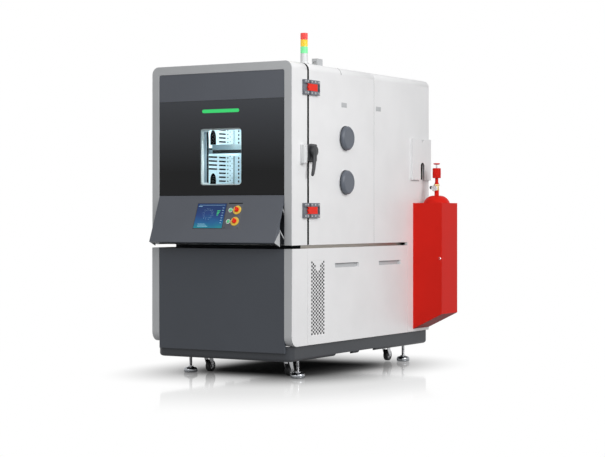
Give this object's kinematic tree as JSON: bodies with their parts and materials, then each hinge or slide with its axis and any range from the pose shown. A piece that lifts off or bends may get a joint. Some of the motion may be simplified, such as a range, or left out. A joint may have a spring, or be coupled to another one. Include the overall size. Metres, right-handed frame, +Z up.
{
  "type": "environmental test chamber",
  "caption": "Insulated climate test cabinet with a windowed door, tilting touch console, side ports and latch, over a machine cabinet on feet and casters, with a cylinder bin.",
  "frame": {"origin": "on the floor, at the middle of the overall box", "axes": "+Z up, the door faces -Y, the latch side is +X"},
  "size_m": [1.247, 1.9072, 2.0856],
  "materials": {
    "white": "smooth powder coat",
    "grey": "satin powder coat",
    "slate": "satin powder coat",
    "base_grey": "satin powder coat",
    "console_slate": "satin powder coat",
    "stainless": "brushed",
    "chrome_steel": "polished",
    "zinc_steel": "zinc plated",
    "foam": "rigid foam",
    "dark_glass": "gloss",
    "clear_glass": "gloss",
    "led": "lit",
    "seal": "matte",
    "castalloy": "cast",
    "black_paint": "semi-gloss",
    "copper_grey": "finned",
    "red_plastic": "gloss",
    "green_plastic": "gloss",
    "screen": "gloss",
    "lens": "gloss",
    "latch_black": "matte",
    "plate_grey": "satin",
    "white_plastic": "satin",
    "cap_slate": "matte",
    "bin_red": "gloss",
    "brass_valve": "machined",
    "tyre_black": "matte"
  },
  "bodies": {
    "cabinet": {"base_frame": "base_grey", "fixed_panels": "white", "lower_bezel": "grey", "lower_front_cover": "slate", "upper_shell": "white", "plant_shell": "white", "chamber_liner": "stainless", "insulation": "foam", "air_baffles": "stainless", "shelf_rack": "stainless", "chamber_lamp": "clear_glass", "fan_motor": "castalloy", "evaporator_heater": "copper_grey", "compressors": "black_paint", "condenser": "copper_grey", "control_box": "grey", "port_flanges": "zinc_steel", "stack_light": "lens", "relief_vent": "grey", "hinge_bases": "zinc_steel", "latch_bases": "plate_grey", "pipe_hood": "white", "extinguisher_bin": "bin_red", "levelling_feet": "chrome_steel", "caster_forks_rear": "zinc_steel"},
    "door": {"door_shell": "white", "door_bezel": "grey", "header_panel": "console_slate", "glass_panel": "dark_glass", "led_bar": "led", "window_glass": "clear_glass", "door_liner": "stainless", "door_core": "foam", "door_gasket": "seal", "door_keepers": "white_plastic", "hinge_leaves": "zinc_steel"},
    "console": {"console_flap": "console_slate", "touch_screen": "screen"},
    "knob_upper": {"switch_knob_upper": "red_plastic"},
    "knob_lower": {"switch_knob_lower": "red_plastic"},
    "push_upper": {"button_upper": "green_plastic"},
    "push_lower": {"button_lower": "green_plastic"},
    "impeller": {"fan_impeller": "castalloy"},
    "cooling_fan": {"condenser_fan": "latch_black"},
    "plug_upper": {"port_plug_upper": "cap_slate"},
    "plug_lower": {"port_plug_lower": "cap_slate"},
    "lever": {"latch_lever": "latch_black"},
    "bolt_upper": {"safety_bolt_upper": "red_plastic"},
    "bolt_lower": {"safety_bolt_lower": "red_plastic"},
    "cylinder": {"extinguisher": "bin_red", "cylinder_valve": "brass_valve"},
    "actuator": {"release_knob": "red_plastic"},
    "removable_panel": {"side_panel": "white", "vent_grille": "white"},
    "swivel_left": {"caster_fork_left": "zinc_steel"},
    "swivel_right": {"caster_fork_right": "zinc_steel"},
    "wheel_fl": {"wheel_front_left": "tyre_black"},
    "wheel_fr": {"wheel_front_right": "tyre_black"},
    "wheel_rl": {"wheel_rear_left": "tyre_black"},
    "wheel_rr": {"wheel_rear_right": "tyre_black"}
  },
  "joints": [
    {"name": "door_hinge", "type": "hinge", "parent": "cabinet", "child": "door", "pos_m": [-0.6125, -0.66237, 1.34], "axis": [0, 0, 1], "range_deg": [-110, 0]},
    {"name": "console_tilt", "type": "hinge", "parent": "door", "child": "console", "pos_m": [-0.0955, -0.83637, 1.092], "axis": [1, 0, 0], "range_deg": [0, 21.7]},
    {"name": "knob_upper_turn", "type": "hinge", "parent": "console", "child": "knob_upper", "pos_m": [0.0475, -0.87709, 1.01672], "axis": [0, -0.9291, 0.3697], "range_deg": [-90, 0]},
    {"name": "knob_lower_turn", "type": "hinge", "parent": "console", "child": "knob_lower", "pos_m": [0.0475, -0.90408, 0.94889], "axis": [0, -0.9291, 0.3697], "range_deg": [-90, 0]},
    {"name": "push_upper_press", "type": "slide", "parent": "console", "child": "push_upper", "axis": [0, 0.9291, -0.3697], "range_m": [0, 0.003], "stiffness_N_per_m": 300, "springref_m": -0.003},
    {"name": "push_lower_press", "type": "slide", "parent": "console", "child": "push_lower", "axis": [0, 0.9291, -0.3697], "range_m": [0, 0.003], "stiffness_N_per_m": 300, "springref_m": -0.003},
    {"name": "impeller_spin", "type": "hinge", "parent": "cabinet", "child": "impeller", "pos_m": [-0.0955, 0.03463, 1.51], "axis": [0, 1, 0], "continuous": true},
    {"name": "cooling_fan_spin", "type": "hinge", "parent": "cabinet", "child": "cooling_fan", "pos_m": [-0.0955, 0.72863, 0.444], "axis": [0, 1, 0], "continuous": true},
    {"name": "plug_upper_pull", "type": "slide", "parent": "cabinet", "child": "plug_upper", "axis": [1, 0, 0], "range_m": [0, 0.12]},
    {"name": "plug_lower_pull", "type": "slide", "parent": "cabinet", "child": "plug_lower", "axis": [1, 0, 0], "range_m": [0, 0.12]},
    {"name": "lever_turn", "type": "hinge", "parent": "cabinet", "child": "lever", "pos_m": [0.4525, -0.65837, 1.37], "axis": [1, 0, 0], "range_deg": [0, 90]},
    {"name": "bolt_upper_slide", "type": "slide", "parent": "cabinet", "child": "bolt_upper", "axis": [0, 1, 0], "range_m": [0, 0.025]},
    {"name": "bolt_lower_slide", "type": "slide", "parent": "cabinet", "child": "bolt_lower", "axis": [0, 1, 0], "range_m": [0, 0.025]},
    {"name": "cylinder_lift", "type": "slide", "parent": "cabinet", "child": "cylinder", "axis": [0, 0, 1], "range_m": [0, 0.74]},
    {"name": "actuator_press", "type": "slide", "parent": "cylinder", "child": "actuator", "axis": [0, 0, -1], "range_m": [0, 0.008], "stiffness_N_per_m": 800, "springref_m": -0.005},
    {"name": "panel_lift_off", "type": "slide", "parent": "cabinet", "child": "removable_panel", "axis": [1, 0, 0], "range_m": [0, 0.3]},
    {"name": "swivel_left_turn", "type": "hinge", "parent": "cabinet", "child": "swivel_left", "pos_m": [-0.3875, -0.54637, 0.121], "axis": [0, 0, 1], "continuous": true},
    {"name": "swivel_right_turn", "type": "hinge", "parent": "cabinet", "child": "swivel_right", "pos_m": [0.1965, -0.54637, 0.121], "axis": [0, 0, 1], "continuous": true},
    {"name": "wheel_fl_roll", "type": "hinge", "parent": "swivel_left", "child": "wheel_fl", "pos_m": [-0.3875, -0.51837, 0.0405], "axis": [1, 0, 0], "continuous": true},
    {"name": "wheel_fr_roll", "type": "hinge", "parent": "swivel_right", "child": "wheel_fr", "pos_m": [0.1965, -0.51837, 0.0405], "axis": [1, 0, 0], "continuous": true},
    {"name": "wheel_rl_roll", "type": "hinge", "parent": "cabinet", "child": "wheel_rl", "pos_m": [-0.3875, 0.75563, 0.0405], "axis": [1, 0, 0], "continuous": true},
    {"name": "wheel_rr_roll", "type": "hinge", "parent": "cabinet", "child": "wheel_rr", "pos_m": [0.1965, 0.75563, 0.0405], "axis": [1, 0, 0], "continuous": true}
  ]
}
